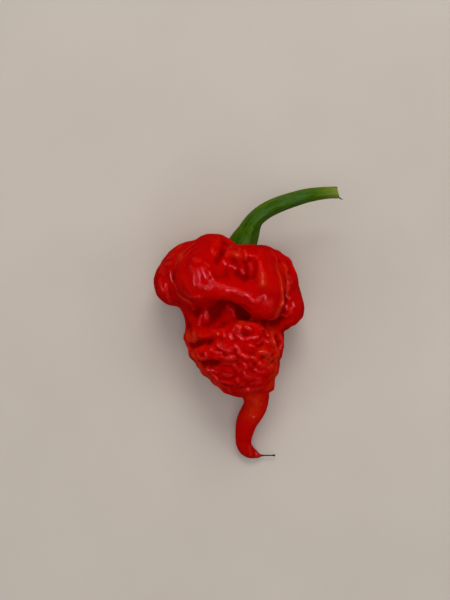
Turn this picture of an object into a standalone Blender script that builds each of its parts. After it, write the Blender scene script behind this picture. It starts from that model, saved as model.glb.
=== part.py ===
"""A red chilli pepper with crumpled shoulders, a waist and a hooked tail, lying on a flat surface.

Metres, +Z up. The pod lies along Y with its stem towards +Y and its tail towards -Y, and X runs across it.
"""

import math

import bpy
import bmesh
import numpy as np
from mathutils import Matrix, Vector, noise
from mathutils.bvhtree import BVHTree

MM = 0.001

# Driving dimensions in millimetres. Y = 0 is the waist's upper edge, under the roll of the shoulders.
LOBE_VOXEL = 0.6           # cell of the remesh that joins the big folds
LOBE_SMOOTHING = 12        # passes that melt the big folds into each other
SKIN_VOXEL = 0.42          # cell of the remesh that joins the small lumps and the tail to them
LUMP_SMOOTHING = 3         # passes that melt the lumps and the tail into the rest
LAST_SMOOTHING = 1         # passes that round the crumpled skin
POD_TRIANGLES = 10000      # what the pod's skin is thinned to
REST_HEIGHT = 0.62         # the two low shoulders and the tail's hook are cut flat at this height
FIT_GAP = 0.3              # clearance between the pod and the pieces that grow from it

# Folds of the shoulders: rows of x, y, z, half width, half depth along each fold
SHOULDER_FOLDS = {
    "core": ((-4.0, 5.6, 12.2, 7.4, 8.8), (4.0, 5.2, 12.2, 7.4, 8.8)),
    "plateau": ((-0.4, 6.6, 15.4, 3.8, 7.2), (4.6, 6.0, 15.4, 3.8, 7.2)),
    "left_end": (
        (-6.5, 9.0, 11.2, 5.0, 8.2), (-9.4, 7.8, 10.8, 5.2, 8.4),
        (-11.7, 4.6, 9.8, 5.5, 7.8), (-12.0, 3.7, 9.4, 5.3, 7.4),
    ),
    "left_front": (
        (-4.0, 8.6, 14.4, 5.3, 8.6), (-6.2, 5.0, 15.0, 6.8, 9.5), (-6.4, 3.2, 14.8, 5.8, 9.0),
    ),
    "stem_hump": (
        (-4.2, 10.1, 13.4, 4.9, 8.2), (-3.2, 9.95, 13.8, 4.9, 8.2), (-1.9, 9.9, 13.8, 4.4, 8.0),
    ),
    "roll": (
        (-6.8, 3.0, 19.4, 3.8, 3.6), (-2.2, 2.6, 21.2, 3.0, 2.9),
        (2.0, 1.9, 21.4, 2.8, 2.8), (4.8, 0.4, 20.8, 3.3, 3.2), (7.2, -0.6, 19.2, 4.0, 3.9),
    ),
    "front_rim": ((0.6, 9.6, 16.4, 2.9, 6.4), (5.6, 9.2, 16.2, 3.2, 6.6)),
    "right_front": (
        (6.4, 7.6, 15.0, 4.4, 8.6), (7.6, 3.6, 15.4, 4.9, 9.4), (8.0, 0.4, 14.6, 4.8, 8.8),
    ),
    "right_back": (
        (7.4, 7.2, 11.6, 5.0, 8.8), (10.3, 5.5, 11.0, 4.65, 8.4),
        (11.8, 1.4, 9.8, 4.3, 7.8), (12.4, -2.0, 8.9, 4.65, 7.2),
    ),
    "low_left": ((-9.0, 8.2, 7.4, 5.2, 7.4), (-8.0, 5.6, 7.2, 5.6, 7.2)),
    "low_right": ((8.5, 6.9, 7.4, 5.0, 7.4), (7.6, 5.0, 7.2, 5.6, 7.2)),
    "low_back": ((-1.5, 9.0, 8.6, 4.4, 6.8), (2.0, 8.8, 8.8, 4.4, 6.8)),
}

# The waist and the lower pod down to the root of the tail: x, y, z, half width, half depth
BODY = (
    (0.0, 4.0, 12.3, 9.8, 7.0), (-0.2, -1.0, 12.0, 11.0, 5.6), (0.1, -4.0, 11.8, 10.7, 6.0),
    (0.7, -6.5, 11.6, 10.6, 8.1), (0.95, -9.5, 11.4, 11.3, 9.0), (1.2, -12.2, 11.1, 10.3, 8.6),
    (2.1, -14.8, 10.7, 9.2, 7.8), (2.7, -17.2, 10.2, 7.8, 6.8), (3.7, -19.2, 9.6, 6.3, 5.5),
    (4.2, -20.4, 9.0, 5.3, 4.6),
)
BODY_THINNESS = 0.3        # the body's slices are this thick along Y for their width

# The tail down to the hook that touches the surface, and its tip: x, y, z, radius
TAIL = (
    (5.5, -19.5, 9.2, 3.4), (6.05, -22.0, 8.0, 2.95), (5.95, -23.8, 7.1, 2.8),
    (5.05, -25.7, 6.1, 2.8), (3.9, -27.8, 4.9, 2.55), (3.4, -30.0, 3.8, 2.25),
    (3.1, -32.2, 2.9, 1.98), (3.3, -33.7, 2.3, 1.8), (4.1, -34.8, 1.9, 1.65),
    (5.0, -35.25, 1.7, 1.45), (6.0, -35.75, 1.6, 0.98), (6.6, -35.95, 1.6, 0.75), (7.45, -35.95, 1.6, 0.55),
)

# Small lumps on the waist and the lower pod: rows of x, y, z, half width, half depth
LUMPS = {
    "waist_knob": ((-0.4, -3.0, 17.2, 2.0, 1.9), (0.2, -3.8, 17.4, 1.7, 1.7)),
    "waist_bead": ((-5.4, -3.4, 16.4, 1.6, 1.7), (-5.6, -4.6, 16.6, 1.6, 1.6)),
    "waist_cord": ((-8.6, -2.0, 14.0, 1.5, 1.6), (-7.6, -5.0, 15.6, 1.5, 1.6)),
    "brow": ((0.6, -6.2, 18.4, 1.8, 2.0), (3.4, -6.0, 18.8, 2.1, 2.2), (6.4, -6.6, 17.6, 1.8, 2.0)),
    "left_rib_1": (
        (-8.8, -8.6, 11.0, 1.4, 1.6), (-7.2, -7.8, 15.0, 1.6, 2.0), (-3.0, -7.6, 18.9, 1.5, 1.8),
    ),
    "left_rib_2": (
        (-7.8, -11.8, 10.8, 1.4, 1.6), (-6.4, -12.2, 14.4, 1.5, 1.8), (-2.6, -12.0, 18.0, 1.4, 1.6),
    ),
    "left_rib_3": (
        (-5.2, -16.0, 10.2, 1.3, 1.6), (-4.0, -16.2, 12.8, 1.4, 1.7), (-1.2, -16.2, 15.8, 1.3, 1.5),
    ),
    "right_knob": ((10.7, -8.9, 11.0, 1.8, 2.0), (10.6, -10.2, 11.0, 1.8, 2.0)),
    "right_rib_2": ((10.1, -12.8, 10.6, 1.3, 1.8), (8.4, -12.6, 14.6, 1.4, 1.8)),
    "right_rib_3": ((9.5, -15.8, 10.2, 1.4, 1.8), (7.6, -16.0, 13.6, 1.4, 1.7)),
    "right_rib_4": ((8.7, -19.3, 9.6, 1.5, 1.6), (6.9, -19.4, 12.2, 1.3, 1.5)),
    "chin": ((0.8, -20.3, 9.6, 1.5, 2.4), (2.6, -20.5, 9.8, 1.4, 2.8)),
}

DRAW_STEP = 0.3            # spacing of the points on a drawn line
ABOVE_ALL = 60.0           # a height over the whole pepper

# Ridges (height above 0) and creases (below 0), seen from above: points x, y, then half width and height
DRAWN_ABOVE = {
    "hump_crease": (((-0.9, 13.6), (-1.8, 11.4), (-2.9, 8.8)), 0.9, -1.4),
    "left_end_crease": (
        ((-11.9, 8.5), (-12.8, 5.6), (-12.9, 3.4), (-11.6, 1.2), (-9.0, -0.7)), 0.7, -0.8,
    ),
    "left_end_ridge": (((-9.8, 3.4), (-8.6, 1.4), (-6.2, 0.4)), 0.6, 0.35),
    "far_left_fold": (((-14.4, 7.6), (-14.2, 3.4), (-13.0, -0.4)), 0.7, -0.4),
    "plateau_hollow": (((0.6, 6.6), (2.6, 6.0)), 2.2, -0.7),
    "pit_by_pillar": (((5.0, 6.6), (5.2, 4.4)), 0.8, -0.6),
    "pit_near_crest": (((2.6, 6.4), (3.0, 6.0)), 0.8, -0.6),
    "pillar_ridge": (((6.7, 9.0), (6.8, 7.0), (7.4, 4.4)), 0.8, 0.4),
    "rim_ridge": (((-0.8, 10.3), (1.8, 10.2), (2.9, 11.2), (3.6, 9.4)), 0.7, 0.5),
    "left_front_ridge": (((-7.4, 11.0), (-7.2, 8.8), (-5.0, 7.4)), 0.8, 0.35),
    "right_rim_ridge": (
        ((9.0, 11.0), (10.8, 8.5), (11.5, 4.5), (11.5, 0.0), (10.8, -2.7), (9.4, -3.9)), 0.7, 0.7,
    ),
    "right_back_crease": (
        ((11.4, 9.0), (12.6, 6.6), (12.8, 3.4), (12.6, -0.6), (11.6, -4.0)), 0.7, -1.3,
    ),
    "right_back_ridge_1": (((11.9, 9.4), (13.1, 6.3), (13.5, 3.8)), 0.5, 0.4),
    "right_back_ridge_2": (((13.0, 9.6), (14.2, 6.6), (14.6, 3.4)), 0.5, 0.4),
    "deep_pit": (((2.9, -2.6), (3.8, -3.4)), 0.8, -1.2),
    "under_right_front": (((4.6, -4.4), (8.0, -5.2), (10.8, -4.8)), 0.8, -1.2),
    "left_groove_1": (((-9.8, -10.4), (-6.6, -10.0), (-3.6, -9.4)), 0.8, -1.1),
    "left_groove_2": (((-7.8, -14.0), (-4.4, -14.4), (-2.2, -13.6)), 0.8, -1.1),
    "diagonal_1": (((-2.9, -9.4), (-0.4, -11.2)), 0.6, 0.5),
    "diagonal_2": (((-1.8, -12.8), (1.2, -13.1)), 0.6, 0.5),
    "diagonal_3": (((1.6, -10.1), (2.9, -12.4), (6.3, -13.9)), 0.6, 0.5),
    "diagonal_4": (((2.2, -8.6), (6.1, -8.4)), 0.6, 0.5),
}

# Stalk from its end inside the pod to the cut: x, y, z, radius
STALK = (
    (2.5, 9.9, 12.7, 2.2), (2.7, 10.9, 12.8, 3.3), (2.8, 11.8, 12.9, 3.75), (2.9, 12.4, 13.0, 3.6),
    (3.2, 13.5, 13.2, 3.1), (4.0, 15.1, 13.6, 2.6), (4.7, 16.7, 14.1, 2.2), (5.75, 18.25, 14.7, 1.9),
    (7.8, 19.9, 15.1, 1.83), (10.6, 21.3, 15.5, 1.78), (14.0, 22.5, 15.6, 1.68), (17.2, 23.4, 15.5, 1.57),
    (20.5, 23.92, 15.3, 1.4), (22.8, 24.1, 15.1, 1.32), (24.1, 24.1, 15.0, 1.38),
)
STALK_SIDES = 20
STALK_STEP = 0.9           # distance between its rings
CALYX_TEETH = 5
CALYX_SPAN = (13.6, 12.2)  # Y at which the ribs start to turn into teeth, and at which they are teeth
TOOTH_TURN = 0.6           # how far the teeth are turned round the stalk, in radians
TOOTH_DEPTH = 0.1          # share of the radius by which the calyx's rim waves
RIB_DEPTH = 0.035          # share of the radius by which the stalk's long ribs stand out
CUT_SLANT = 0.36           # how far the cut end leans for each millimetre across it

# The dried thread at the tip: x, y, z, radius
STYLE = (
    (8.1, -35.85, 1.6, 0.17), (8.7, -35.87, 1.6, 0.14), (10.2, -35.85, 1.5, 0.13),
    (10.45, -35.85, 1.5, 0.2),
)
STYLE_SIDES = 8

SEED_OFFSET = Vector((21.7, 11.9, 16.1))   # picks which pimples and wrinkles grow
WARP_CELL = 4.0                            # size of the patches in which the cells below are bent alike
WARP = 0.9                                 # how far they are bent, in cells
PIMPLED_SPANS = ((-2.5, -6.0), (-23.5, -20.5))   # Y over which pimples start at the waist, and at the tail
PIMPLE_CELL = (3.2, 2.1, 3.2)              # size of a pimple on the lower pod along x, y and z
PIMPLE_HEIGHT = 1.25
PIMPLE_EDGE = 4.5                          # how sharply a pimple falls to the groove round it
PIMPLE_LEVEL = 0.55                        # share of its height by which its top stands out of the skin
WRINKLED_SPAN = (-4.0, 1.0)                # Y over which wrinkles start at the waist
WRINKLE_CELL = (1.9, 5.5, 1.9)             # size of a wrinkle down the shoulders along x, y and z
WRINKLE_HEIGHT = 0.5
WRINKLE_EDGE = 1.6                         # how sharply a wrinkle falls off
WRINKLE_LEVEL = 0.35                       # share of its height by which its top stands out of the skin
BLISTER_CELL = 3.2                         # size of a blister on the shoulders
BLISTER_HEIGHT = 0.45

MATERIALS = {  # linear red, green, blue, then roughness
    "red_skin": (0.42, 0.006, 0.003, 0.32),
    "green_stalk": (0.045, 0.1, 0.008, 0.5),
    "dry_thread": (0.05, 0.02, 0.015, 0.7),
}


def catmull(rows, t):
    """The smooth curve through rows, at t counted in spans."""
    last = len(rows) - 1
    i = min(int(t), last - 1)
    f = t - i
    p0, p1, p2, p3 = (rows[min(max(i + k, 0), last)] for k in (-1, 0, 1, 2))
    return 0.5 * (
        2 * p1 + (p2 - p0) * f + (2 * p0 - 5 * p1 + 4 * p2 - p3) * f**2
        + (3 * p1 - p0 - 3 * p2 + p3) * f**3
    )


def sampled(rows, spacing, length_axes=3):
    """Rows read from the smooth curve through rows, spacing apart or less."""
    rows = [np.array(row, float) for row in rows]
    out = []
    for i in range(len(rows) - 1):
        length = np.linalg.norm((rows[i + 1] - rows[i])[:length_axes])
        steps = max(1, math.ceil(length / spacing))
        out += [catmull(rows, i + k / steps) for k in range(steps)]
    return np.array([*out, rows[-1]])


def ramp(value, start, end):
    """0 before start, 1 after end, and smooth between."""
    f = np.clip((value - start) / (end - start), 0.0, 1.0)
    return f * f * (3.0 - 2.0 * f)


def chain(rows, thinness=1.0, spacing=0.5):
    """Balls along a smooth line, as x, y, z and three half sizes. thinness flattens them along Y."""
    x, y, z, wide, deep = sampled(rows, spacing).T
    return np.stack([x, y, z, wide, thinness * wide, deep], axis=1)


def clay_of(balls):
    """One mesh that holds every ball."""
    bm = bmesh.new()
    bmesh.ops.create_icosphere(bm, subdivisions=3, radius=1.0)
    unit = np.array([v.co[:] for v in bm.verts])
    faces = np.array([[v.index for v in f.verts] for f in bm.faces])
    bm.free()
    places = unit[None] * balls[:, None, 3:] + balls[:, None, :3]
    faces = faces[None] + len(unit) * np.arange(len(balls))[:, None, None]
    mesh = bpy.data.meshes.new("clay")
    mesh.from_pydata(places.reshape(-1, 3), [], faces.reshape(-1, 3))
    return mesh


def evaluated(mesh, *modifiers):
    """A new mesh: the given one with modifiers applied, each a type and its settings."""
    obj = bpy.data.objects.new("work", mesh)
    bpy.context.scene.collection.objects.link(obj)
    for kind, settings in modifiers:
        modifier = obj.modifiers.new(kind.lower(), kind)
        for key, value in settings.items():
            setattr(modifier, key, value)
    graph = bpy.context.evaluated_depsgraph_get()
    graph.update()
    out = bpy.data.meshes.new_from_object(obj.evaluated_get(graph))
    bpy.data.objects.remove(obj)
    return out


def skin_of(mesh, voxel, smoothing):
    """One closed skin round everything in mesh."""
    return evaluated(
        mesh,
        ("REMESH", {"mode": "VOXEL", "voxel_size": voxel}),
        ("SMOOTH", {"factor": 0.5, "iterations": smoothing}),
    )


def read(mesh, what):
    values = np.empty(len(mesh.vertices) * 3, np.float32)
    mesh.vertices.foreach_get(what, values)
    return values.reshape(-1, 3).astype(float)


def raise_skin(mesh, heights):
    """Moves every vertex along its normal."""
    places = read(mesh, "co") + read(mesh, "normal") * heights[:, None]
    mesh.vertices.foreach_set("co", places.astype(np.float32).ravel())
    mesh.update()


def draw(mesh, strokes):
    """Presses the strokes into the skin where a line from above first meets it."""
    tree = BVHTree.FromPolygons([v.co for v in mesh.vertices], [p.vertices for p in mesh.polygons])
    places = read(mesh, "co")
    heights = np.zeros(len(places))
    for points, half_width, height in strokes.values():
        starts = [Vector((x, y, ABOVE_ALL)) for x, y in sampled(points, DRAW_STEP, 2)]
        hits = [tree.ray_cast(start, Vector((0, 0, -1)))[0] for start in starts]
        line = np.array([hit for hit in hits if hit is not None])
        away = np.min(np.linalg.norm(places[:, None] - line[None], axis=2), axis=1) / half_width
        heights += height * (np.exp(-away**2) if height > 0 else np.exp(-1.3 * away**1.5))
    raise_skin(mesh, heights)


def crumple(mesh):
    """Raises pimples round the lower pod, and wrinkles and blisters on the shoulders."""
    places = read(mesh, "co")
    y = places[:, 1]
    lower = ramp(y, *PIMPLED_SPANS[0]) * ramp(y, *PIMPLED_SPANS[1])
    upper = ramp(y, *WRINKLED_SPAN)
    heights = np.zeros(len(places))
    for i, place in enumerate(places):
        slow = Vector(place / WARP_CELL)
        warp = SEED_OFFSET + WARP * Vector([noise.noise(slow + k * SEED_OFFSET) for k in (1, 2, 3)])
        if lower[i] > 0:
            nearest, second = noise.voronoi(Vector(place / PIMPLE_CELL) + warp)[0][:2]
            groove = math.exp(-PIMPLE_EDGE * (second - nearest))
            heights[i] += PIMPLE_HEIGHT * (PIMPLE_LEVEL - groove) * lower[i]
        if upper[i] > 0:
            ridge = WRINKLE_LEVEL - WRINKLE_EDGE * abs(noise.noise(Vector(place / WRINKLE_CELL) + warp))
            blister = noise.noise(Vector(place / BLISTER_CELL) + 2.0 * SEED_OFFSET)
            heights[i] += (WRINKLE_HEIGHT * ridge + BLISTER_HEIGHT * blister) * upper[i]
    raise_skin(mesh, heights)


def press_flat(mesh, height):
    """Cuts the mesh at height and closes the cuts with flat faces."""
    bm = bmesh.new()
    bm.from_mesh(mesh)
    bmesh.ops.bisect_plane(
        bm, geom=[*bm.verts, *bm.edges, *bm.faces], dist=1e-5, plane_co=(0, 0, height), plane_no=(0, 0, 1),
        clear_inner=True,
    )
    flats = bmesh.ops.edgeloop_fill(bm, edges=[e for e in bm.edges if e.is_boundary])["faces"]
    for face in flats:
        face.normal_update()
        if face.normal.z > 0:
            face.normal_flip()
    bm.to_mesh(mesh)
    bm.free()


def pod_skin():
    """The pod's folds, body, lumps and tail as one crumpled skin, in millimetres."""
    folds = [chain(rows) for rows in SHOULDER_FOLDS.values()]
    big = skin_of(clay_of(np.concatenate([*folds, chain(BODY, BODY_THINNESS)])), LOBE_VOXEL, LOBE_SMOOTHING)
    small = [chain(rows) for rows in LUMPS.values()]
    small.append(chain([(*row, row[-1]) for row in TAIL]))
    bm = bmesh.new()
    bm.from_mesh(big)
    bm.from_mesh(clay_of(np.concatenate(small)))
    both = bpy.data.meshes.new("both")
    bm.to_mesh(both)
    bm.free()
    skin = skin_of(both, SKIN_VOXEL, LUMP_SMOOTHING)
    draw(skin, DRAWN_ABOVE)
    crumple(skin)
    skin = skin_of(skin, SKIN_VOXEL, LAST_SMOOTHING)
    thin = {"ratio": POD_TRIANGLES / (2 * len(skin.polygons)), "use_collapse_triangulate": True}
    skin = evaluated(skin, ("DECIMATE", thin))
    press_flat(skin, REST_HEIGHT)
    return skin


def tube(rows, sides, shape=None, spacing=0.7, slant=0.0):
    """A closed tube round a smooth line of rows x, y, z, radius. shape(row, angle) scales the radius."""
    rows = sampled(rows, spacing)
    bm = bmesh.new()
    rings = []
    across = Vector((1, 0, 0))
    for i, row in enumerate(rows):
        ahead = Vector(rows[min(i + 1, len(rows) - 1)][:3] - rows[max(i - 1, 0)][:3]).normalized()
        across = (across - ahead * across.dot(ahead)).normalized()
        up = ahead.cross(across)
        ring = []
        for k in range(sides):
            angle = 2 * math.pi * k / sides
            radius = row[3] * (shape(row, angle) if shape else 1.0)
            place = Vector(row[:3]) + (math.cos(angle) * across + math.sin(angle) * up) * float(radius)
            if i == len(rows) - 1:
                place -= ahead * slant * float(place.y - row[1])
            ring.append(bm.verts.new(place))
        rings.append(ring)
    for low, high in zip(rings, rings[1:]):
        for k in range(sides):
            bm.faces.new((low[k], low[(k + 1) % sides], high[(k + 1) % sides], high[k]))
    bm.faces.new(rings[0][::-1])
    bm.faces.new(rings[-1])
    mesh = bpy.data.meshes.new("tube")
    bm.to_mesh(mesh)
    bm.free()
    return mesh


def stalk_shape(row, angle):
    """Five teeth round the calyx, which fade into five fine ribs up the stalk."""
    calyx = ramp(row[1], *CALYX_SPAN)
    wave = math.cos(CALYX_TEETH * angle + TOOTH_TURN)
    return 1.0 + (RIB_DEPTH * (1 - calyx) + TOOTH_DEPTH * calyx) * wave


def material(name):
    *colour, roughness = MATERIALS[name]
    made = bpy.data.materials.new(name)
    made.use_nodes = True
    shader = made.node_tree.nodes["Principled BSDF"]
    shader.inputs["Base Color"].default_value = (*colour, 1.0)
    shader.inputs["Roughness"].default_value = roughness
    shader.inputs["Metallic"].default_value = 0.0
    return made


def place(name, mesh, finish, root, origin=(0.0, 0.0, 0.0)):
    """An object under root with its own origin, from a mesh in millimetres."""
    mesh.transform(Matrix.Scale(MM, 4) @ Matrix.Translation(-Vector(origin)))
    mesh.name = name
    mesh.materials.clear()
    mesh.materials.append(material(finish))
    mesh.shade_smooth()
    obj = bpy.data.objects.new(name, mesh)
    bpy.context.scene.collection.objects.link(obj)
    obj.parent = root
    obj.location = Vector(origin) * MM
    return obj


def clear_scene():
    for obj in list(bpy.data.objects):
        bpy.data.objects.remove(obj)


def cut_socket(pod, root):
    """A hole in the pod for the calyx, with clearance all round."""
    rows = [(*row[:3], row[3] + FIT_GAP) for row in STALK]
    first, second = Vector(rows[0][:3]), Vector(rows[1][:3])
    rows[0] = (*(first - (second - first).normalized() * FIT_GAP), rows[0][3])
    cutter = place("calyx_space", tube(rows, STALK_SIDES, stalk_shape), "red_skin", root)
    cutter.hide_render = True
    cutter.display_type = "WIRE"
    socket = pod.modifiers.new("socket", "BOOLEAN")
    socket.operation = "DIFFERENCE"
    socket.solver = "EXACT"
    socket.object = cutter


def settle(root):
    """Moves the whole pepper so that it rests at z = 0 with its box centred on the origin."""
    bpy.context.view_layer.update()
    corners = np.array([obj.matrix_world @ Vector(c) for obj in root.children for c in obj.bound_box])
    middle = (corners.min(axis=0) + corners.max(axis=0)) / 2
    root.location = (-middle[0], -middle[1], -REST_HEIGHT * MM)


def main():
    clear_scene()
    root = bpy.data.objects.new("chilli", None)
    bpy.context.scene.collection.objects.link(root)
    pod = place("pod", pod_skin(), "red_skin", root)
    stalk = tube(STALK, STALK_SIDES, stalk_shape, STALK_STEP, CUT_SLANT)
    place("calyx_and_stem", stalk, "green_stalk", root, STALK[0][:3])
    place("dried_style", tube(STYLE, STYLE_SIDES), "dry_thread", root, STYLE[0][:3])
    settle(root)
    cut_socket(pod, root)


main()
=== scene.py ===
"""The looks of a red chilli pepper: finer skin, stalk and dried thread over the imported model, on a floor.

Lengths are in millimetres and are scaled to metres at the end, but for the lights, the floor and the
materials, which are in metres. Places are measured from the middle of the pepper's waist: X across the pod,
Y towards the stalk, Z up.
"""

import math

import bpy
import bmesh
import numpy as np
from mathutils import Matrix, Vector, noise
from mathutils.bvhtree import BVHTree


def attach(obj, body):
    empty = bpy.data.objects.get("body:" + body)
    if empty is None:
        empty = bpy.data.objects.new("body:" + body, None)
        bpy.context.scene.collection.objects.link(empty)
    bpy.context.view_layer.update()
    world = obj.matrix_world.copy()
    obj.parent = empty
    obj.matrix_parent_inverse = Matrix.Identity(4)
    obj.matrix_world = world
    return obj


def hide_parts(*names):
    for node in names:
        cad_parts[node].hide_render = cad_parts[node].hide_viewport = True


MM = 0.001
WAIST = Vector((-3.5967, 5.5642, -0.62))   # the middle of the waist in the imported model's frame

# The camera looks straight down. A pixel of the 450 x 600 picture has its stated size at the focus height.
PIXEL = 0.225
PICTURE_WIDTH = 450
PICTURE_HEIGHT = 600
WAIST_PIXEL = (230, 300)                 # where the middle of the waist shows
FOCUS_HEIGHT = 13.0
CAMERA_HEIGHT = 450.0                    # above the focus height
CAMERA_SENSOR = 36.0

SKIN_VOXEL = 0.24
MELT = 0.7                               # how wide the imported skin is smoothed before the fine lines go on
LINE_SPREAD = 1.35                       # width pressed for each half width of the lines below
LINE_RISE = 0.6                          # height pressed for each of their heights
LINE_REACH = 4.0                         # how far from a line its press is reckoned
SHEEN_SPREAD = 0.85                      # width of the shining top for each half width

# Ridges (height above 0) and creases (below 0): pixels x, y where the camera sees them, half width, height
SHOULDER_LINES = {
    "plateau_bump": (((226, 255), (229, 252), (233, 251.5), (237, 256)), 0.45, 0.28),
    "plateau_thin": (((245, 251), (246.2, 255.5), (245.4, 259.6)), 0.32, 0.3),
    "rim_speck": (((238.8, 248), (239.8, 250.6)), 0.35, 0.2),
    "hump_crease": (((222, 254), (220, 258), (217.4, 264)), 0.35, -0.2),
    "hump_line": (((232.5, 244), (229.8, 248), (225.8, 252.5)), 0.35, 0.2),
    "rim_bow": (((250.3, 255.3), (255, 256.4), (257, 257.8)), 0.35, 0.25),
    "plateau_left": (((223.5, 261), (225.8, 264)), 0.35, 0.25),
    "plateau_diagonal": (((229.6, 265.6), (233, 266.6), (235.4, 268.4)), 0.32, 0.28),
    "plateau_dot": (((241.3, 269.3), (242.9, 273)), 0.38, 0.28),
    "plateau_knob": (((250.6, 263.8), (252, 268.6)), 0.55, 0.4),
    "pillar": (((260.2, 261.6), (260.8, 268.8), (262.8, 274), (262.2, 279), (262.8, 284)), 0.45, 0.2),
    "plateau_dark_1": (((233, 259), (240, 261), (248, 260)), 0.5, -0.25),
    "plateau_dark_2": (((236, 274), (244, 277), (252, 277)), 0.6, -0.3),
    "plateau_dark_3": (((245, 263), (246.5, 269), (246.5, 275)), 0.4, -0.22),
    "left_streak_1": (((190.8, 266.7), (193, 270), (195, 273), (194.5, 280), (195.5, 284.5)), 0.45, 0.28),
    "left_streak_2": (((197.5, 268.5), (199, 275), (200, 281)), 0.4, 0.22),
    "left_streak_3": (((202, 267.8), (204.2, 273), (205.8, 278)), 0.4, 0.28),
    "left_streak_4": (((209.5, 272), (212, 277), (214.5, 282), (217, 286)), 0.45, 0.28),
    "band_left": (((199, 285), (207, 287), (219, 284.5)), 0.7, 0.25),
    "crest_1": (((222.4, 285.6), (229.6, 289.6), (237.8, 290.4)), 0.7, 0.25),
    "crest_2": (((240, 292), (247, 295.3), (253, 300)), 0.5, 0.28),
    "crest_3": (((253.5, 300.5), (258.5, 301), (263.3, 295.5), (266, 297), (267.8, 303)), 0.5, 0.25),
    "crest_dark": (((232, 295), (242, 299), (249, 304)), 0.5, -0.2),
    "left_line": (((172.4, 280.5), (175.5, 286), (179.6, 295.3), (185.7, 299.4), (191, 304.5)), 0.35, 0.4),
    "left_line_2": (((185.7, 292), (190, 296.5), (199, 296.5)), 0.35, 0.28),
    "left_line_3": (((166.3, 284), (167.3, 293.3), (170.4, 302)), 0.4, 0.28),
    "left_line_4": (((176.5, 262), (175.5, 270), (175, 277)), 0.35, 0.25),
    "left_spot_1": (((161, 270.8), (163.3, 268), (164, 274)), 0.6, 0.25),
    "left_spot_2": (((169.4, 257.6), (173.5, 255.3)), 0.5, 0.25),
    "left_spot_3": (((166, 264), (170.6, 263.4)), 0.45, 0.25),
    "left_spot_4": (((159, 281), (161, 286), (163.5, 291)), 0.4, 0.25),
    "left_spot_5": (((161, 263), (164, 259)), 0.35, 0.22),
    "left_spot_6": (((170, 271), (171, 278)), 0.35, 0.2),
    "orange_knob": (((180.4, 255.5), (180.8, 258.5)), 0.7, 0.35),
    "top_left_line_1": (((184.7, 251.6), (189, 247.5), (194, 244.3)), 0.35, 0.25),
    "top_left_line_2": (((186, 256), (191, 250), (197.5, 247)), 0.35, 0.25),
    "shoulder_spot_1": (((193.9, 258.6), (197, 261.6), (199.4, 260.6)), 0.45, 0.25),
    "shoulder_spot_2": (((204.8, 262.4), (209.2, 265.8)), 0.4, 0.25),
    "shoulder_spot_3": (((212, 249.5), (214.5, 253), (217.4, 252)), 0.5, 0.25),
    "right_top_line": (((270.4, 250.4), (275.5, 256.5), (277.8, 262)), 0.35, 0.3),
    "right_rim_1": (((276.5, 270.5), (280.4, 278), (281.8, 287), (282.6, 296.5), (281.6, 304)), 0.45, 0.55),
    "right_rim_2": (((281.6, 304), (280, 310), (274.5, 317.8), (270.5, 318.6)), 0.6, 0.5),
    "right_curve": (
        ((281.6, 263.7), (286.4, 268.8), (285.6, 275), (287.8, 287), (286.7, 295.3), (289.6, 299)),
        0.4, 0.35,
    ),
    "right_spot": (((287.6, 276), (291.8, 278.6), (290.8, 282.4)), 0.45, 0.3),
    "right_edge_line": (((287.8, 257.5), (291, 262.5), (294, 269.4)), 0.4, 0.3),
    "right_dark": (((286, 300), (290.5, 303), (296, 299)), 0.7, -0.4),
    "right_groove": (
        ((279, 262), (283, 272), (284.4, 284), (284.8, 296), (283.4, 306), (279.4, 313)),
        0.45, -0.5,
    ),
    "right_dark_2": (((288.4, 262), (290, 270), (289.4, 276)), 0.4, -0.4),
    "right_bead_1": (((290.6, 309), (290.9, 312)), 0.55, 0.35),
    "right_bead_2": (((293.7, 303.5), (294.4, 306)), 0.5, 0.3),
    "right_bead_3": (((286.8, 306), (287, 308.5)), 0.4, 0.25),
    "right_arm": (((281.6, 314.7), (286, 315.9)), 0.4, 0.35),
}
WAIST_LINES = {
    "neck_arc": (((230.8, 308), (233.6, 310), (235, 314.6)), 0.45, 0.45),
    "neck_bead": (((205.4, 313.6), (206.4, 316.8)), 0.7, 0.5),
    "neck_line": (((200.8, 315), (199.4, 319), (198.4, 324)), 0.4, 0.4),
    "neck_speck_1": (((227.3, 306), (228.3, 307.4)), 0.35, 0.3),
    "neck_speck_2": (((192.5, 308), (193.5, 310)), 0.4, 0.3),
    "neck_hollow": (((198, 308), (212, 311), (226, 313), (236, 318)), 2.0, -0.8),
    "neck_pit": (((243, 307), (247, 310.5)), 0.7, -0.8),
    "neck_edge": (((188, 326), (204, 323), (220, 322)), 0.8, -0.4),
}
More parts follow.
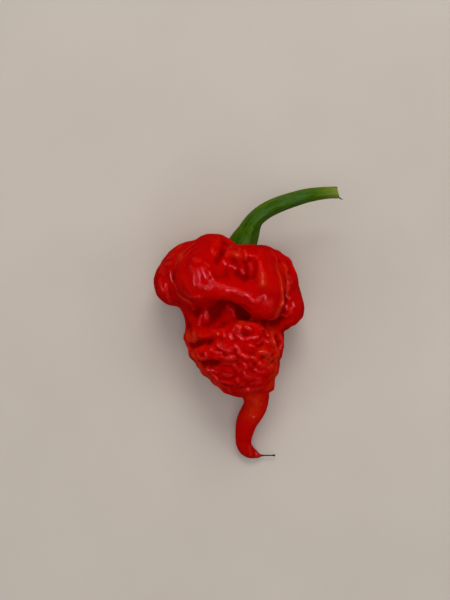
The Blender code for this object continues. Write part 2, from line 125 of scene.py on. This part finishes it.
BODY_LINES = {
    "brow_1": (((246.2, 324.6), (251.5, 322.9), (257, 324.6)), 0.45, 0.4),
    "brow_2": (((236, 324.4), (239.6, 326.6), (239.4, 331.5)), 0.42, 0.3),
    "brow_3": (((246.9, 326.8), (250.2, 330)), 0.4, 0.3),
    "brow_4": (((238.6, 336.6), (243.4, 339)), 0.38, 0.3),
    "ridge_1": (((247.7, 338.3), (252.3, 337.4), (257.5, 337.5)), 0.42, 0.38),
    "ridge_2": (((258, 343), (263, 339.6), (267.8, 341.5)), 0.42, 0.38),
    "dot_1": (((230, 334.2), (231.6, 338)), 0.5, 0.3),
    "dot_2": (((220.8, 329), (223.4, 330.6)), 0.45, 0.3),
    "dot_3": (((217.4, 333.2), (218.2, 334.6)), 0.4, 0.25),
    "dot_4": (((223.8, 333.6), (224.4, 336)), 0.4, 0.25),
    "wrinkle_1": (((217.6, 343.2), (219.6, 346.8), (224, 348.8), (228.8, 350.6)), 0.4, 0.42),
    "wrinkle_2": (((235.4, 345.6), (238.2, 349), (240, 353.6), (245.6, 356.2)), 0.42, 0.4),
    "wrinkle_3": (((221.5, 356.4), (227, 358.9), (232.6, 357.4)), 0.45, 0.38),
    "wrinkle_4": (((225.4, 362.4), (233, 364), (236.4, 367.6)), 0.45, 0.4),
    "wrinkle_5": (((247.4, 357.2), (253.8, 358), (259.4, 363)), 0.42, 0.45),
    "wrinkle_6": (((259.8, 351.8), (266.8, 352.8), (269.4, 354.8)), 0.42, 0.38),
    "wrinkle_7": (((262.6, 366.4), (266.6, 367), (270.8, 366.4)), 0.6, 0.45),
    "wrinkle_8": (((239.2, 371), (242, 368.9), (244, 373)), 0.52, 0.38),
    "wrinkle_9": (((245.2, 376.3), (249.6, 377.2), (254, 377.3)), 0.65, 0.45),
    "wrinkle_10": (((252, 382.8), (259, 382), (258.2, 378.4)), 0.58, 0.4),
    "wrinkle_11": (((225.3, 374.6), (228.5, 375.8), (231.8, 374.6)), 0.45, 0.35),
    "wrinkle_12": (((264.5, 353.6), (269.9, 358), (269, 361.6)), 0.4, 0.35),
    "wrinkle_13": (((250, 345), (254.5, 347.5)), 0.35, 0.28),
    "wrinkle_14": (((211, 349), (216, 352.5), (221, 353)), 0.38, 0.3),
    "wrinkle_15": (((240, 361.5), (245, 364.5), (246, 368)), 0.38, 0.32),
    "wrinkle_16": (((255, 369), (260, 372), (264, 371.5)), 0.38, 0.32),
    "wrinkle_17": (((232, 383.5), (238, 385.5), (243, 384.5)), 0.38, 0.3),
    "wrinkle_18": (((263, 327), (266, 331), (268, 335)), 0.38, 0.28),
    "band_low": (((241, 390.4), (251.5, 389.6), (261.5, 387.2)), 0.75, 0.4),
    "dot_5": (((250, 364), (251.6, 366)), 0.4, 0.3),
    "dot_6": (((237.4, 379), (238, 380.4)), 0.4, 0.25),
    "dot_7": (((229.4, 390), (230.6, 391.6)), 0.4, 0.3),
    "dot_8": (((212, 370), (216.8, 371.6)), 0.42, 0.35),
    "left_patch": (((187, 338.5), (190.5, 341), (194, 340.8), (193.4, 334.5)), 0.6, 0.4),
    "left_groove_1": (((192.5, 344), (199, 342.6), (208.8, 342.6)), 0.7, -0.6),
    "left_groove_2": (((200, 361.6), (207, 362.4), (216.5, 361.4)), 0.7, -0.6),
    "left_bow": (((196.8, 352.6), (201, 358.6), (206.4, 356.6), (205.6, 353.4)), 0.42, 0.45),
    "left_rim": (((189.6, 351.4), (194.9, 358), (199.7, 362)), 0.5, 0.35),
    "left_glow_1": (((186.6, 341), (188.6, 347.5), (193.4, 355.6)), 0.5, 0.2),
    "left_glow_2": (((197.6, 364.6), (202.6, 371.6), (208.6, 376.6)), 0.5, 0.2),
    "left_glow_3": (((213.6, 381), (218.6, 386), (224, 391.4)), 0.5, 0.2),
    "ripple_1": (((203.8, 368.6), (207.9, 373.5), (211.2, 378)), 0.38, 0.35),
    "ripple_2": (((207.5, 368), (212, 373.4), (216, 378.4)), 0.38, 0.35),
    "ripple_3": (((214.6, 375.4), (219.4, 380.3), (228.8, 382.8)), 0.38, 0.35),
    "ripple_4": (((217.5, 380.6), (222, 385), (229, 387.6)), 0.38, 0.32),
    "ripple_5": (((220, 386.6), (224.9, 392)), 0.38, 0.32),
    "ear_inner": (((272, 332.6), (273.6, 339.8), (276.2, 346.4)), 0.45, 0.55),
    "ear_outer": (((280.4, 335.6), (282.6, 342), (280.6, 348)), 0.5, 0.45),
    "ear_pit": (((277.4, 337.5), (278.2, 342.5)), 0.9, -0.9),
    "dot_9": (((276.4, 349.8), (277.2, 351.4)), 0.5, 0.4),
    "right_line_1": (((272, 358.4), (275, 356), (278.6, 354.8)), 0.4, 0.4),
    "right_line_2": (((276.2, 359.4), (276.8, 364), (276, 369)), 0.42, 0.4),
    "right_line_3": (((274, 380.5), (273.8, 385.5)), 0.42, 0.3),
}
TAIL_LINES = {
    "ring_1": (((244, 409), (252, 411.5), (263, 408.5)), 0.8, -0.3),
    "ring_2": (((239, 441), (245, 442.5), (250.5, 441.5)), 0.6, -0.2),
    "patch_1": (((255, 400), (257, 403.6), (259.6, 404.6)), 0.7, 0.18),
    "patch_2": (((250.5, 415), (254, 417.5)), 0.4, 0.12),
    "hook_fold_1": (((249.5, 446.5), (250.5, 451), (251.5, 455)), 0.4, 0.25),
    "hook_fold_2": (((253, 449.5), (254, 453), (254.4, 456)), 0.4, -0.3),
    "hook_fold_3": (((256, 452.5), (257, 456)), 0.35, 0.2),
}

LINE_TABLES = (SHOULDER_LINES, WAIST_LINES, BODY_LINES, TAIL_LINES)

# Orange places on the skin, its own tint and painted glow of light along rims: pixels x, y where the camera
# sees them, and half width in millimetres
ORANGE_AND_GLOW_PATCHES = {
    "left_knob": (((180.4, 255), (180.6, 259)), 1.0),
    "plateau": (((235, 253), (238, 257)), 0.8),
    "pillar_foot": (((262.4, 276), (262.6, 284)), 0.9),
    "left_ear": (((187, 336), (191, 339), (196, 337)), 1.2),
    "brow": (((237, 323), (245, 321), (254, 322)), 0.8),
    "right_foot": (((262, 352), (268, 358), (270, 366)), 0.9),
    "right_ear": (((273, 333), (275, 342), (277, 352)), 1.2),
    "right_side": (((276, 360), (275, 372), (272, 384)), 1.6),
    # left_rim, right_rim, right_curve, left_rim_top and left_line are painted glow of light along the edges
    "left_rim": (((193, 354), (203, 370), (218, 384)), 1.2),
    "tail": (((252, 396), (256, 404), (250, 414)), 2.0),
    "right_rim": (((276, 266), (281, 285), (281.6, 300), (276, 314)), 0.55),
    "right_curve": (((284, 266), (286, 276), (287, 290)), 0.5),
    "left_rim_top": (((180, 246), (170, 254), (161, 266)), 0.6),
    "left_line": (((173, 281), (179, 294), (189, 302)), 0.5),
}

# Places that shine softly: pixels x, y where the camera sees them, and half width in millimetres
SOFT_SHEEN = {
    "crest_left": (((196, 286), (206, 288), (218, 286)), 1.0),
    "crest_middle": (((220, 286.5), (231, 290), (240, 292), (250, 297)), 1.1),
    "crest_right": (((252, 299), (258, 298), (263, 298), (265, 302)), 1.0),
    "left_patch": (((191, 267), (194, 274), (195, 282)), 1.0),
    "left_patch_2": (((203, 268), (207, 276), (213, 284)), 1.0),
    "shoulder": (((212, 250), (215, 253)), 0.9),
    "shoulder_2": (((195, 260), (199, 261)), 0.8),
    "left_lobe": (((161.5, 271), (164.5, 272)), 1.0),
    "left_lobe_2": (((168, 258), (171, 256)), 0.9),
    "neck_bead": (((205, 314), (206, 317)), 0.7),
    "body": (((221, 344), (225, 347), (231, 350)), 1.0),
    "body_2": (((228, 356), (238, 362)), 1.0),
    "body_3": (((234, 330), (240, 336)), 0.9),
    "body_4": (((224, 374), (230, 375)), 0.8),
    "low_band": (((244, 390), (258, 388)), 0.8),
    "right_lobe": (((270, 300), (272, 310)), 1.0),
    "left_lobe_3": (((160, 280), (163, 288)), 1.0),
}
SOFT_SHARE = 0.5                         # of a ridge's shine

# Fine relief that a rule spreads over the whole skin
SEED_OFFSET = Vector((5.3, 17.2, 9.4))
WARP_CELL = 2.5                          # size of the patches in which the cells below are bent alike
WARP = 0.8                               # how far they are bent, in cells
PIMPLE_CELL = (2.2, 1.0, 1.6)            # size of a fine pimple on the lower pod
PIMPLE_HEIGHT = 0.08
PIMPLES_FADE = ((-1.0, -5.0), (-23.5, -20.5))    # Y where they start and are full, at the waist and the tail
CRINKLE_CELL = (0.9, 2.2, 0.9)           # size of a fine crinkle down the shoulders
CRINKLE_HEIGHT = 0.03
CRINKLES_FADE = (-4.0, 1.0)
# How a ridge or crease is told from the rest: passes that smooth the skin, and the height over it that
# counts in full
RELIEF_SCALES = {"relief": (16, 0.09), "swell": (150, 0.45)}

# Stalk from its end inside the pod to the cut: x, y, z, radius
STALK = (
    (2.5, 9.9, 12.7, 2.2), (2.7, 10.9, 12.8, 3.3), (2.8, 11.8, 12.9, 3.95), (2.9, 12.4, 13.0, 3.75),
    (3.2, 13.5, 13.2, 3.1), (4.0, 15.1, 13.6, 2.6), (4.7, 16.7, 14.1, 2.2), (5.75, 18.25, 14.7, 1.9),
    (7.8, 19.9, 15.1, 1.83), (10.6, 21.3, 15.5, 1.78), (14.0, 22.5, 15.6, 1.68), (17.2, 23.4, 15.5, 1.57),
    (20.5, 23.92, 15.3, 1.4), (22.8, 24.1, 15.1, 1.32), (23.7, 24.12, 15.0, 1.37),
    (24.15, 24.1, 15.0, 1.24),
)
STALK_SIDES = 60
STALK_STEP = 0.25
CALYX_TEETH = 5
TOOTH_DEPTH = 0.1
RIB_DEPTH = 0.03
FINE_RIBS = 17
FINE_RIB_DEPTH = 0.012
CUT_SLANT = 0.36
# The cut end from its rim inwards: share of the radius, and how far it is sunk
CUT_RINGS = ((0.96, -0.05), (0.88, 0.06), (0.7, 0.16), (0.45, 0.2), (0.2, 0.12))
TORN_FIBRE = ((24.3, 23.0, 14.9, 0.2), (24.8, 22.75, 14.85, 0.12), (25.25, 22.4, 14.8, 0.05))
FIBRE_SIDES = 8
FIBRE_STEP = 0.1
GRAIN_SLOWNESS = 0.15                    # how little the stalk's streaks change along it

# The dried thread at the tip, with a bead at its free end: x, y, z, radius
STYLE = (
    (6.9, -35.9, 1.62, 0.3), (7.7, -35.87, 1.6, 0.17), (8.7, -35.87, 1.6, 0.14), (9.8, -35.85, 1.5, 0.13),
    (10.05, -35.85, 1.5, 0.2), (10.3, -35.85, 1.5, 0.21), (10.45, -35.85, 1.5, 0.1),
)
STYLE_SIDES = 12
STYLE_STEP = 0.08


# Y in metres where the hook starts to darken, and where it is darkest
HOOK_TIP = (-0.026, -0.0305)

# Lights: place and size in metres, power, colour and whether the glossy skin mirrors them
LIGHTS = {
    "dome": ((0.0, 0.0, 0.4), 3.0, 6.5, (1.0, 0.97, 0.93), False),
    "key": ((0.03, 0.42, 0.42), 0.3, 1.6, (1.0, 0.96, 0.9), False),
    "lamp": ((0.02, -0.05, 0.6), 0.1, 0.2, (0.95, 0.9, 1.0), True),
    "panel": ((0.0, -0.02, 0.6), 0.55, 0.7, (1.0, 0.94, 1.0), True),
    "left_strip": ((-0.5, -0.15, 0.3), 0.22, 0.36, (1.0, 0.94, 0.95), True),
    "right_strip": ((0.5, 0.0, 0.4), 0.26, 0.5, (1.0, 0.94, 0.95), True),
    "front_strip": ((0.05, -0.5, 0.45), 0.2, 0.24, (1.0, 0.94, 0.95), True),
}
FLOOR_SIZE = 3.0


def from_waist(x, y, z):
    """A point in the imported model's frame, in millimetres."""
    return WAIST + Vector((x, y, z))


def pixel_place(x, y):
    """The point at the focus height that shows at a pixel of the picture."""
    return from_waist((x - WAIST_PIXEL[0]) * PIXEL, (WAIST_PIXEL[1] - y) * PIXEL, FOCUS_HEIGHT)


def camera_place():
    return pixel_place(PICTURE_WIDTH / 2, PICTURE_HEIGHT / 2) + Vector((0, 0, CAMERA_HEIGHT))


def ramp(value, start, end):
    """0 before start, 1 after end, and smooth between."""
    f = np.clip((value - start) / (end - start), 0.0, 1.0)
    return f * f * (3.0 - 2.0 * f)


def catmull(rows, t):
    """The smooth curve through rows, at t counted in spans."""
    last = len(rows) - 1
    i = min(int(t), last - 1)
    f = t - i
    p0, p1, p2, p3 = (rows[min(max(i + k, 0), last)] for k in (-1, 0, 1, 2))
    return 0.5 * (
        2 * p1 + (p2 - p0) * f + (2 * p0 - 5 * p1 + 4 * p2 - p3) * f**2
        + (3 * p1 - p0 - 3 * p2 + p3) * f**3
    )


def sampled(rows, spacing, length_axes=3):
    """Rows read from the smooth curve through rows, spacing apart or less."""
    rows = [np.array(row, float) for row in rows]
    out = []
    for i in range(len(rows) - 1):
        length = np.linalg.norm((rows[i + 1] - rows[i])[:length_axes])
        steps = max(1, math.ceil(length / spacing))
        out += [catmull(rows, i + k / steps) for k in range(steps)]
    return np.array([*out, rows[-1]])


def read(mesh, what):
    values = np.empty(len(mesh.vertices) * 3, np.float32)
    mesh.vertices.foreach_get(what, values)
    return values.reshape(-1, 3).astype(float)


def raise_skin(mesh, heights):
    """Moves every vertex along its normal, but not below the floor."""
    places = read(mesh, "co") + read(mesh, "normal") * heights[:, None]
    places[:, 2] = np.maximum(places[:, 2], 0.0)
    mesh.vertices.foreach_set("co", places.astype(np.float32).ravel())
    mesh.update()


def store(mesh, name, values):
    """Keeps a number, or a vector, for each vertex under a name that a material can read."""
    kind = "FLOAT" if values.ndim == 1 else "FLOAT_VECTOR"
    attribute = mesh.attributes.new(name, kind, "POINT")
    attribute.data.foreach_set("value" if values.ndim == 1 else "vector", values.astype(np.float32).ravel())


def evaluated(mesh, *modifiers):
    """A new mesh: the given one with modifiers applied, each a type and its settings."""
    obj = bpy.data.objects.new("work", mesh)
    bpy.context.scene.collection.objects.link(obj)
    for kind, settings in modifiers:
        modifier = obj.modifiers.new(kind.lower(), kind)
        for key, value in settings.items():
            setattr(modifier, key, value)
    graph = bpy.context.evaluated_depsgraph_get()
    graph.update()
    out = bpy.data.meshes.new_from_object(obj.evaluated_get(graph))
    bpy.data.objects.remove(obj)
    return out


def welded(node):
    """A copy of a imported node's mesh in millimetres, with its split corners joined again."""
    bm = bmesh.new()
    bm.from_mesh(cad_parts[node].data)
    bmesh.ops.scale(bm, verts=bm.verts, vec=(1 / MM,) * 3)
    bmesh.ops.remove_doubles(bm, verts=bm.verts, dist=0.001)
    mesh = bpy.data.meshes.new(node)
    bm.to_mesh(mesh)
    bm.free()
    return mesh


def seen_lines(mesh, tables):
    """For each line of pixels: its row of the table, the vertices near it and how far away each is."""
    tree = BVHTree.FromPolygons([v.co for v in mesh.vertices], [p.vertices for p in mesh.polygons])
    places = read(mesh, "co")
    eye = camera_place()
    for row in [row for table in tables for row in table.values()]:
        aims = [pixel_place(x, y) for x, y in sampled(row[0], 1.0, 2)]
        hits = [tree.ray_cast(eye, (aim - eye).normalized())[0] for aim in aims]
        line = np.array([hit for hit in hits if hit is not None])
        reach = np.ptp(line, axis=0) + LINE_REACH
        near = np.flatnonzero(np.all(np.abs(places - line.mean(axis=0)) < reach, axis=1))
        yield row, near, np.min(np.linalg.norm(places[near][:, None] - line[None], axis=2), axis=1)


def draw(mesh):
    """Presses the lines into the skin, and keeps how near a shining place, or an orange or painted rim-glow
    place, each vertex is.
    """
    total = len(mesh.vertices)
    heights, sheen, orange_and_glow = np.zeros(total), np.zeros(total), np.zeros(total)
    for (_, half_width, height), near, away in seen_lines(mesh, LINE_TABLES):
        heights[near] += LINE_RISE * height * np.exp(-(away / half_width / LINE_SPREAD) ** 2)
        if height > 0:
            sheen[near] = np.maximum(sheen[near], np.exp(-(away / half_width / SHEEN_SPREAD) ** 2))
    for (_, half_width), near, away in seen_lines(mesh, [SOFT_SHEEN]):
        sheen[near] = np.maximum(sheen[near], SOFT_SHARE * np.exp(-(away / half_width) ** 2))
    for (_, half_width), near, away in seen_lines(mesh, [ORANGE_AND_GLOW_PATCHES]):
        orange_and_glow[near] = np.maximum(orange_and_glow[near], np.exp(-(away / half_width) ** 2))
    raise_skin(mesh, heights)
    store(mesh, "sheen", sheen)
    store(mesh, "orange_and_glow", orange_and_glow)


def crinkle(mesh):
    """Raises fine pimples on the lower pod and fine crinkles down the shoulders, all round."""
    places = read(mesh, "co") - np.array(WAIST)
    y = places[:, 1]
    lower = math.prod(ramp(y, *fade) for fade in PIMPLES_FADE)
    upper = ramp(y, *CRINKLES_FADE)
    heights = np.zeros(len(places))
    for i, place in enumerate(places):
        slow = Vector(place / WARP_CELL)
        warp = SEED_OFFSET + WARP * Vector([noise.noise(slow + k * SEED_OFFSET) for k in (1, 2, 3)])
        if lower[i] > 0:
            nearest, second = noise.voronoi(Vector(place / PIMPLE_CELL) + warp)[0][:2]
            heights[i] += PIMPLE_HEIGHT * (0.5 - math.exp(-4.0 * (second - nearest))) * lower[i]
        if upper[i] > 0:
            ridge = 0.3 - abs(noise.noise(Vector(place / CRINKLE_CELL) + warp)) * 1.5
            heights[i] += CRINKLE_HEIGHT * ridge * upper[i]
    raise_skin(mesh, heights)


def store_relief(mesh):
    """Keeps how far each vertex stands out of the smoothed skin, from -1 in a crease to 1 on a ridge."""
    ends = np.empty(len(mesh.edges) * 2, np.int32)
    mesh.edges.foreach_get("vertices", ends)
    a, b = ends.reshape(-1, 2).T
    total = len(mesh.vertices)
    count = np.bincount(ends, minlength=total)

    def around(values):
        both = np.bincount(a, values[b], total) + np.bincount(b, values[a], total)
        return 0.5 * values + 0.5 * both / count

    places = read(mesh, "co").T
    normals = read(mesh, "normal").T
    smooth = list(places)
    done = 0
    for name, (passes, unit) in RELIEF_SCALES.items():
        for _ in range(passes - done):
            smooth = [around(axis) for axis in smooth]
        done = passes
        height = sum((p - q) * n for p, q, n in zip(places, smooth, normals))
        store(mesh, name, np.clip(height / unit, -1.0, 1.0))


class Nodes:
    """A material's node tree, with short ways to add to it."""

    def __init__(self, name):
        self.material = bpy.data.materials.new(name)
        self.material.use_nodes = True
        self.tree = self.material.node_tree
        self.shader = self.tree.nodes["Principled BSDF"]

    def put(self, node, inputs):
        for key, value in inputs.items():
            socket = node.inputs[key]
            if isinstance(value, bpy.types.NodeSocket):
                self.tree.links.new(value, socket)
            else:
                socket.default_value = value

    def add(self, kind, inputs=None, output=0, **settings):
        node = self.tree.nodes.new("ShaderNode" + kind)
        for key, value in settings.items():
            setattr(node, key, value)
        self.put(node, inputs or {})
        return node.outputs[output]

    def place(self):
        return self.add("TexCoord", output=3)

    def attribute(self, name, output=2):
        return self.add("Attribute", output=output, attribute_name=name)

    def noise(self, vector, scale, detail=3.0, roughness=0.5):
        inputs = {"Vector": vector, "Scale": scale, "Detail": detail, "Roughness": roughness}
        return self.add("TexNoise", inputs)

    def math(self, operation, *values):
        return self.add("Math", dict(enumerate(values)), operation=operation)

    def fit(self, value, low, high, to_low=0.0, to_high=1.0):
        return self.add("MapRange", {0: value, 1: low, 2: high, 3: to_low, 4: to_high}, clamp=True)

    def mix(self, factor, a, b):
        a, b = ((*c, 1.0) if isinstance(c, tuple) else c for c in (a, b))
        return self.add("Mix", {0: factor, 6: a, 7: b}, output=2, data_type="RGBA")

    def bump(self, height, distance, strength=1.0, normal=None):
        inputs = {"Height": height, "Distance": distance, "Strength": strength}
        if normal:
            inputs["Normal"] = normal
        return self.add("Bump", inputs)


def red_skin():
    n = Nodes("red_waxy_skin")
    place = n.place()
    relief = n.attribute("relief")
    patches = n.fit(n.noise(place, 160.0, 2.0), 0.42, 0.72)
    speckle = n.fit(n.noise(place, 900.0, 2.0), 0.35, 0.7)
    ridges = n.fit(relief, 0.25, 1.0)
    sheen = n.math("MAXIMUM", n.attribute("sheen"), n.math("MULTIPLY", ridges, 0.3))
    sheen = n.math("MULTIPLY", sheen, n.fit(n.noise(place, 900.0, 1.0), 0.36, 0.56, 0.45, 1.1))
    sheen = n.fit(sheen, 0.25, 0.85)
    orange_and_glow = n.math("MULTIPLY", n.attribute("orange_and_glow"), n.fit(n.noise(place, 700.0, 2.0), 0.3, 0.6, 0.4, 1.0))
    creases = n.fit(relief, -0.15, -0.9)
    colour = n.mix(n.math("MULTIPLY", patches, 0.5), (0.48, 0.0003, 0.0005), (0.58, 0.003, 0.0004))
    colour = n.mix(n.math("MULTIPLY", speckle, 0.2), colour, (0.36, 0.0003, 0.0004))
    # Painted highlight: ridge tops are made a lighter, more orange red, as if they catch more light
    colour = n.mix(n.math("MULTIPLY", ridges, 0.4), colour, (0.68, 0.008, 0.001))
    # Painted highlight: the shining places are also made a brighter red, on top of their real gloss
    colour = n.mix(n.math("MULTIPLY", sheen, 0.35), colour, (0.8, 0.004, 0.001))
    # Orange tint, and painted glow of light along the rims
    colour = n.mix(n.math("MULTIPLY", orange_and_glow, 0.55), colour, (0.64, 0.03, 0.002))
    # Painted shade: creases are darkened as if less light reaches into them
    colour = n.mix(n.math("MULTIPLY", creases, 0.75), colour, (0.25, 0.0003, 0.0005))
    # Painted shade: broad hollows, such as the recess under the crest, are darkened
    colour = n.mix(n.fit(n.attribute("swell"), -0.2, -1.0, 0.0, 0.6), colour, (0.16, 0.0002, 0.0004))
    y = n.add("SeparateXYZ", {0: place}, 1)
    colour = n.mix(n.fit(y, *HOOK_TIP, 0.0, 0.55), colour, (0.3, 0.004, 0.001))
    fine = n.bump(n.noise(place, 2600.0, 3.0), 0.00002, 0.6)
    dimples = n.bump(n.noise(place, 900.0, 2.0), 0.00005, 0.7, fine)
    n.put(n.shader, {
        "Base Color": colour,
        "Roughness": n.fit(sheen, 0.0, 1.0, 0.4, 0.17),
        "Normal": dimples,
        "IOR": 1.45,
        "Specular IOR Level": n.fit(sheen, 0.0, 1.0, 0.008, 0.9),
        "Specular Tint": (1.0, 0.76, 1.0, 1.0),
        "Subsurface Weight": 0.12,
        "Subsurface Radius": (1.0, 0.12, 0.06),
        "Subsurface Scale": 0.0007,
    })
    return n.material


def green_stalk():
    n = Nodes("ribbed_green_stalk")
    place = n.place()
    grain = n.attribute("grain", 1)
    streaks = n.fit(n.noise(grain, 3.2, 3.0, 0.6), 0.35, 0.68)
    blotches = n.fit(n.noise(place, 260.0, 2.0), 0.35, 0.7)
    along = n.attribute("along")
    cut = n.attribute("cut")
    colour = n.mix(streaks, (0.018, 0.058, 0.0005), (0.066, 0.15, 0.002))
    colour = n.mix(n.math("MULTIPLY", blotches, 0.45), colour, (0.03, 0.11, 0.012))
    # Painted highlight: a lighter yellow line along the stalk's lit upper edge
    upper_edge_highlight = n.fit(n.add("SeparateXYZ", {0: grain}, 0), -0.7, -0.95, 0.0, 0.6)
    colour = n.mix(upper_edge_highlight, colour, (0.13, 0.17, 0.006))
    colour = n.mix(n.fit(along, 0.82, 1.0, 0.0, 0.75), colour, (0.21, 0.27, 0.03))
    colour = n.mix(n.fit(along, 0.2, 0.0, 0.0, 0.35), colour, (0.02, 0.05, 0.001))
    # The cut end in its own dry brown, darkened further as painted shade along the cut
    colour = n.mix(cut, colour, (0.1, 0.085, 0.02))
    fibres = n.bump(n.noise(grain, 9.0, 2.0), 0.00004, 0.6)
    n.put(n.shader, {
        "Base Color": colour,
        "Roughness": n.fit(streaks, 0.0, 1.0, 0.3, 0.42),
        "Normal": n.bump(n.noise(place, 1800.0, 3.0), 0.00002, 0.6, fibres),
        "IOR": 1.42,
        "Specular IOR Level": n.fit(blotches, 0.2, 1.0, 0.08, 0.4),
    })
    return n.material


def dry_thread():
    n = Nodes("dry_dark_thread")
    shade = n.noise(n.place(), 2500.0, 3.0)
    n.put(n.shader, {
        "Base Color": n.mix(shade, (0.006, 0.003, 0.003), (0.016, 0.008, 0.006)),
        "Roughness": n.fit(shade, 0.3, 0.7, 0.6, 0.8),
        "Normal": n.bump(shade, 0.00004, 0.6),
    })
    return n.material


def pale_floor():
    n = Nodes("pale_floor")
    soft = n.fit(n.noise(n.place(), 30.0, 4.0), 0.3, 0.7)
    n.put(n.shader, {
        "Base Color": n.mix(soft, (0.56, 0.52, 0.46), (0.59, 0.55, 0.49)),
        "Roughness": 0.75,
        "Specular IOR Level": 0.2,
    })
    return n.material


def add_piece(name, mesh, material, slot, *nodes):
    """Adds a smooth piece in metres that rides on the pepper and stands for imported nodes."""
    mesh.transform(Matrix.Scale(MM, 4))
    mesh.materials.clear()
    mesh.materials.append(material)
    mesh.shade_smooth()
    piece = bpy.data.objects.new(name, mesh)
    bpy.context.scene.collection.objects.link(piece)
    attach(piece, "root")
    if nodes:
        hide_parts(*nodes)


def make_skin():
    mesh = evaluated(
        welded("pod"),
        ("REMESH", {"mode": "VOXEL", "voxel_size": SKIN_VOXEL}),
        ("SMOOTH", {"factor": 0.5, "iterations": round((2 * MELT / SKIN_VOXEL) ** 2)}),
    )
    draw(mesh)
    crinkle(mesh)
    store_relief(mesh)
    add_piece("pepper_skin", mesh, red_skin(), "red_skin", "pod")


def tube(rows, sides, spacing, shape=None, slant=0.0, end_rings=()):
    """A closed tube along a smooth line: rows are x, y, z, radius, and shape(row, angle) scales the radius.
    end_rings are inner rings of its last end, as share of the radius and depth below the rim."""
    rows = sampled(rows, spacing)
    bm = bmesh.new()
    rings, along, grain, cut = [], [], [], []
    across = Vector((1, 0, 0))

    def add_ring(row, share, sunk, is_cut):
        ring = []
        for k in range(sides):
            angle = 2 * math.pi * k / sides
            radius = share * row[3] * (shape(row, angle) if shape else 1.0)
            place = from_waist(*row[:3]) + (math.cos(angle) * across + math.sin(angle) * up) * float(radius)
            if i == len(rows) - 1:
                place -= ahead * float(slant * (place.y - WAIST.y - row[1]) + sunk)
            ring.append(bm.verts.new(place))
            along.append(i / (len(rows) - 1))
            grain.append((math.cos(angle), math.sin(angle), GRAIN_SLOWNESS * i * spacing / row[3]))
            cut.append(is_cut)
        rings.append(ring)

    for i, row in enumerate(rows):
        ahead = Vector(rows[min(i + 1, len(rows) - 1)][:3] - rows[max(i - 1, 0)][:3]).normalized()
        across = (across - ahead * across.dot(ahead)).normalized()
        up = ahead.cross(across)
        add_ring(row, 1.0, 0.0, 0.0)
    for share, sunk in end_rings:
        add_ring(rows[-1], share, sunk, 1.0)
    for low, high in zip(rings, rings[1:]):
        for k in range(sides):
            bm.faces.new((low[k], low[(k + 1) % sides], high[(k + 1) % sides], high[k]))
    bm.faces.new(rings[0][::-1])
    bm.faces.new(rings[-1])
    mesh = bpy.data.meshes.new("tube")
    bm.to_mesh(mesh)
    bm.free()
    store(mesh, "along", np.array(along))
    store(mesh, "grain", np.array(grain))
    store(mesh, "cut", np.array(cut))
    return mesh


def stalk_shape(row, angle):
    """Teeth round the calyx, which fade into a few broad and many fine ribs up the stalk."""
    calyx = ramp(row[1], 13.6, 12.2)
    broad = (RIB_DEPTH * (1 - calyx) + TOOTH_DEPTH * calyx) * math.cos(CALYX_TEETH * angle + 0.6)
    return 1.0 + broad + FINE_RIB_DEPTH * math.cos(FINE_RIBS * angle + 0.15 * row[1])


def make_stalk():
    mesh = tube(STALK, STALK_SIDES, STALK_STEP, stalk_shape, CUT_SLANT, CUT_RINGS)
    add_piece("stalk_and_calyx", mesh, green_stalk(), "green_stalk", "calyx_and_stem")
    fibre = tube(TORN_FIBRE, FIBRE_SIDES, FIBRE_STEP)
    add_piece("torn_fibre", fibre, dry_thread(), "green_stalk")


def make_style():
    mesh = tube(STYLE, STYLE_SIDES, STYLE_STEP)
    add_piece("dry_style", mesh, dry_thread(), "dry_thread", "dried_style")


def make_floor():
    mesh = bpy.data.meshes.new("floor")
    corners = [(x * FLOOR_SIZE, y * FLOOR_SIZE, 0) for x, y in ((-1, -1), (1, -1), (1, 1), (-1, 1))]
    mesh.from_pydata(corners, [], [(0, 1, 2, 3)])
    mesh.materials.append(pale_floor())
    floor = bpy.data.objects.new("floor", mesh)
    bpy.context.scene.collection.objects.link(floor)
    floor.visible_glossy = False


def add_light(name, place, size, power, colour, mirrored):
    """A square soft light aimed at the pepper."""
    light = bpy.data.lights.new(name, "AREA")
    light.energy = power
    light.size = size
    light.color = colour
    obj = bpy.data.objects.new(name, light)
    bpy.context.scene.collection.objects.link(obj)
    obj.location = place
    obj.rotation_euler = (-Vector(place)).to_track_quat("-Z", "Y").to_euler()
    obj.visible_glossy = mirrored


def make_studio():
    """The floor and the lights: a broad dome and a soft key, and dimmer lights that the skin mirrors."""
    world = bpy.data.worlds.new("studio")
    bpy.context.scene.world = world
    world.use_nodes = True
    background = world.node_tree.nodes["Background"]
    background.inputs["Color"].default_value = (1.0, 0.97, 0.93, 1)
    background.inputs["Strength"].default_value = 0.02
    make_floor()
    for name, (place, size, power, colour, mirrored) in LIGHTS.items():
        add_light(name, place, size, power, colour, mirrored)


def make_camera():
    camera = bpy.data.cameras.new("camera")
    camera.sensor_width = CAMERA_SENSOR
    camera.lens = CAMERA_SENSOR * CAMERA_HEIGHT / (PICTURE_HEIGHT * PIXEL)
    camera.clip_start = 0.01
    obj = bpy.data.objects.new("camera", camera)
    bpy.context.scene.collection.objects.link(obj)
    obj.location = camera_place() * MM
    bpy.context.scene.camera = obj


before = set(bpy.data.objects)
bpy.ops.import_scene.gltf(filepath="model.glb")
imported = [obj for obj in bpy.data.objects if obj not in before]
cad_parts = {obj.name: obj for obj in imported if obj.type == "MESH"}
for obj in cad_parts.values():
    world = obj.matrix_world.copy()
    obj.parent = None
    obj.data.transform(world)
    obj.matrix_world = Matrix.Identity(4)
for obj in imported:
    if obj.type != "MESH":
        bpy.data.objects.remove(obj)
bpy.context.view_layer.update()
make_camera()
make_studio()
make_skin()
make_stalk()
make_style()
bpy.context.scene.view_settings.view_transform = "Standard"
